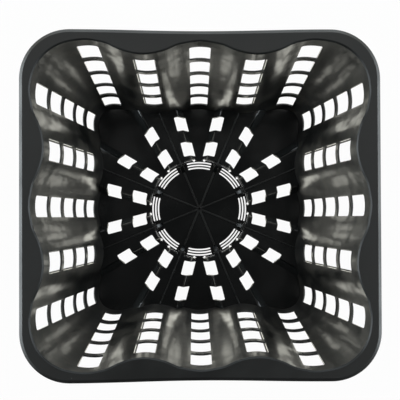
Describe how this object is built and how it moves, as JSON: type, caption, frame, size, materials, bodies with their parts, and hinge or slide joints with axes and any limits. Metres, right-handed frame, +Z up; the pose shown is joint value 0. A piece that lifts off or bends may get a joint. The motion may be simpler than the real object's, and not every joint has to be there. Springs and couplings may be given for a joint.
{
  "type": "pond planting basket",
  "caption": "Square slotted planting basket with wavy tapering walls, a flat flanged rim and a stepped, star-shaped floor that drains.",
  "frame": {"origin": "centre of the basket's footprint, on the surface that it stands on", "axes": "+X along the slightly longer side of the rim, +Y to the back, +Z up out of the mouth"},
  "size_m": [0.2816, 0.2748, 0.18],
  "materials": {
    "rim_plastic": "satin",
    "wall_plastic": "gloss",
    "floor_plastic": "satin"
  },
  "bodies": {
    "root": {"rim_flange": "rim_plastic", "side_wall_right": "wall_plastic", "side_wall_back": "wall_plastic", "side_wall_left": "wall_plastic", "side_wall_front": "wall_plastic", "corner_wall_back_right": "wall_plastic", "corner_wall_back_left": "wall_plastic", "corner_wall_front_left": "wall_plastic", "corner_wall_front_right": "wall_plastic", "side_foot_right": "floor_plastic", "side_foot_back": "floor_plastic", "side_foot_left": "floor_plastic", "side_foot_front": "floor_plastic", "corner_foot_back_right": "floor_plastic", "corner_foot_back_left": "floor_plastic", "corner_foot_front_left": "floor_plastic", "corner_foot_front_right": "floor_plastic", "raised_sector_1": "floor_plastic", "raised_sector_2": "floor_plastic", "raised_sector_3": "floor_plastic", "raised_sector_4": "floor_plastic", "raised_sector_5": "floor_plastic", "raised_sector_6": "floor_plastic", "raised_sector_7": "floor_plastic", "raised_sector_8": "floor_plastic", "slotted_ring": "floor_plastic", "centre_disc": "floor_plastic", "centre_ribs": "floor_plastic"}
  },
  "joints": []
}
